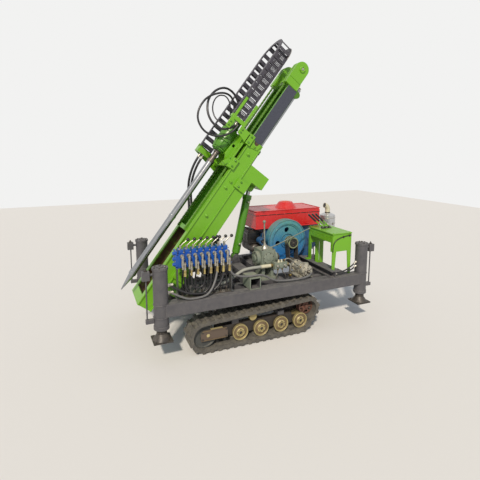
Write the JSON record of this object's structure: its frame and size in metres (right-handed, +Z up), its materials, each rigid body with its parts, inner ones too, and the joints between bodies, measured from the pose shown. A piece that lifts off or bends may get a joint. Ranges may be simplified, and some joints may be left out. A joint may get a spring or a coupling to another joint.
{
  "type": "pile driver rig",
  "caption": "Small tracked pile driver rig with a tilting chain-fed mast, rotary head, hydraulic legs, valve bank and open diesel engine.",
  "frame": {"origin": "on the ground under the middle of the rig's bounding box", "axes": "+X to the engine end, -Y to the valve side, +Z up"},
  "size_m": [2.3434, 1.11, 2.6663],
  "materials": {
    "frame_paint": "satin dark grey paint, dusty",
    "zinc_steel": "grey plated steel",
    "track_rubber": "matt dusty rubber",
    "zinc_yellow": "yellow passivated steel, worn",
    "rusty_cast": "rusty cast iron",
    "green_paint": "gloss bright green paint",
    "bare_steel": "dark greased steel",
    "green_chain": "chain painted over in green",
    "chrome": "hard chrome",
    "black_plastic": "moulded nylon",
    "hose_rubber": "smooth hose rubber",
    "blue_paint": "gloss blue paint",
    "red_paint": "gloss red paint",
    "aluminium": "satin silver",
    "cast_grey": "grey green primer on a casting",
    "tank_paint": "satin dark paint"
  },
  "bodies": {
    "chassis": {"chassis_frame": "frame_paint", "leg_tubes": "frame_paint", "lock_valves": "zinc_steel", "undercarriage": "frame_paint", "track_frames": "frame_paint", "track_near": "track_rubber", "track_far": "track_rubber", "track_rollers": "zinc_yellow", "idler_wheels": "frame_paint", "drive_sprockets": "rusty_cast", "engine_block": "blue_paint", "water_hopper": "red_paint", "air_cleaner": "aluminium", "drive_belts": "hose_rubber", "hydraulic_pump": "cast_grey", "gearbox": "cast_grey", "oil_tank": "tank_paint", "operator_console": "green_paint", "valve_bank": "blue_paint", "valve_fittings": "zinc_steel", "valve_levers": "black_plastic", "hydraulic_hoses": "hose_rubber"},
    "leg_front_near": {"leg_rod_front_near": "zinc_steel"},
    "leg_front_far": {"leg_rod_front_far": "zinc_steel"},
    "leg_rear_near": {"leg_rod_rear_near": "zinc_steel"},
    "leg_rear_far": {"leg_rod_rear_far": "zinc_steel"},
    "support": {"mast_support": "green_paint"},
    "mast": {"mast_outer": "green_paint", "feed_barrel": "green_paint", "chain_bracket": "green_paint", "drag_chain_far": "black_plastic"},
    "inner_mast": {"mast_inner": "bare_steel", "sheave_heads": "green_paint", "chain_sheaves": "green_chain", "feed_chains": "green_chain", "feed_rod": "chrome", "drag_chain_bend": "black_plastic"},
    "carriage": {"head_carriage": "green_paint", "rotary_head": "green_paint", "chain_fork": "green_paint", "head_hoses": "hose_rubber", "drag_chain_near": "black_plastic"},
    "drill_string": {"spindle_adaptor": "bare_steel", "drill_rod": "chrome"},
    "derrick_cylinder": {"derrick_barrel": "green_paint"},
    "derrick_ram": {"derrick_rod": "chrome"},
    "flywheel": {"engine_flywheel": "blue_paint"},
    "pump_drive": {"pump_pulley": "cast_grey"}
  },
  "joints": [
    {"name": "mast_tilt", "type": "hinge", "parent": "chassis", "child": "support", "pos_m": [-0.762, 0, 0.473], "axis": [0, -1, 0], "range_deg": [0, 37]},
    {"name": "derrick_swing", "type": "hinge", "parent": "chassis", "child": "derrick_cylinder", "pos_m": [-0.12, 0, 0.63], "axis": [0, -1, 0], "range_deg": [0, 40.5]},
    {"name": "derrick_stroke", "type": "slide", "parent": "derrick_cylinder", "child": "derrick_ram", "axis": [0.2163, 0, 0.9763], "range_m": [0, 0.42]},
    {"name": "mast_slide", "type": "slide", "parent": "support", "child": "mast", "axis": [0.6018, 0, 0.7986], "range_m": [-0.2, 0]},
    {"name": "feed", "type": "slide", "parent": "mast", "child": "inner_mast", "axis": [0.6018, 0, 0.7986], "range_m": [-0.6, 0]},
    {"name": "head_slide", "type": "slide", "parent": "inner_mast", "child": "carriage", "axis": [0.6018, 0, 0.7986], "range_m": [-0.6, 0], "deforming": ["drag_chain_near", "drag_chain_far"]},
    {"name": "spindle", "type": "hinge", "parent": "carriage", "child": "drill_string", "pos_m": [-0.34071, 0, 1.57045], "axis": [0.6018, 0, 0.7986], "continuous": true},
    {"name": "flywheel_spin", "type": "hinge", "parent": "chassis", "child": "flywheel", "pos_m": [0.46, 0, 0.734], "axis": [0, 1, 0], "continuous": true},
    {"name": "pump_spin", "type": "hinge", "parent": "chassis", "child": "pump_drive", "pos_m": [0.476, 0, 0.515], "axis": [0, 1, 0], "continuous": true},
    {"name": "leg_front_near_slide", "type": "slide", "parent": "chassis", "child": "leg_front_near", "axis": [0, 0, -1], "range_m": [0, 0.33]},
    {"name": "leg_front_far_slide", "type": "slide", "parent": "chassis", "child": "leg_front_far", "axis": [0, 0, -1], "range_m": [0, 0.33]},
    {"name": "leg_rear_near_slide", "type": "slide", "parent": "chassis", "child": "leg_rear_near", "axis": [0, 0, -1], "range_m": [0, 0.33]},
    {"name": "leg_rear_far_slide", "type": "slide", "parent": "chassis", "child": "leg_rear_far", "axis": [0, 0, -1], "range_m": [0, 0.33]}
  ],
  "couplings": [
    {"joint": "derrick_swing", "follows": "mast_tilt", "ratio": 1.0804},
    {"joint": "derrick_stroke", "follows": "mast_tilt", "m_per_rad": 0.64586},
    {"joint": "head_slide", "follows": "feed", "ratio": 1},
    {"joint": "pump_spin", "follows": "flywheel_spin", "ratio": 1.14}
  ]
}
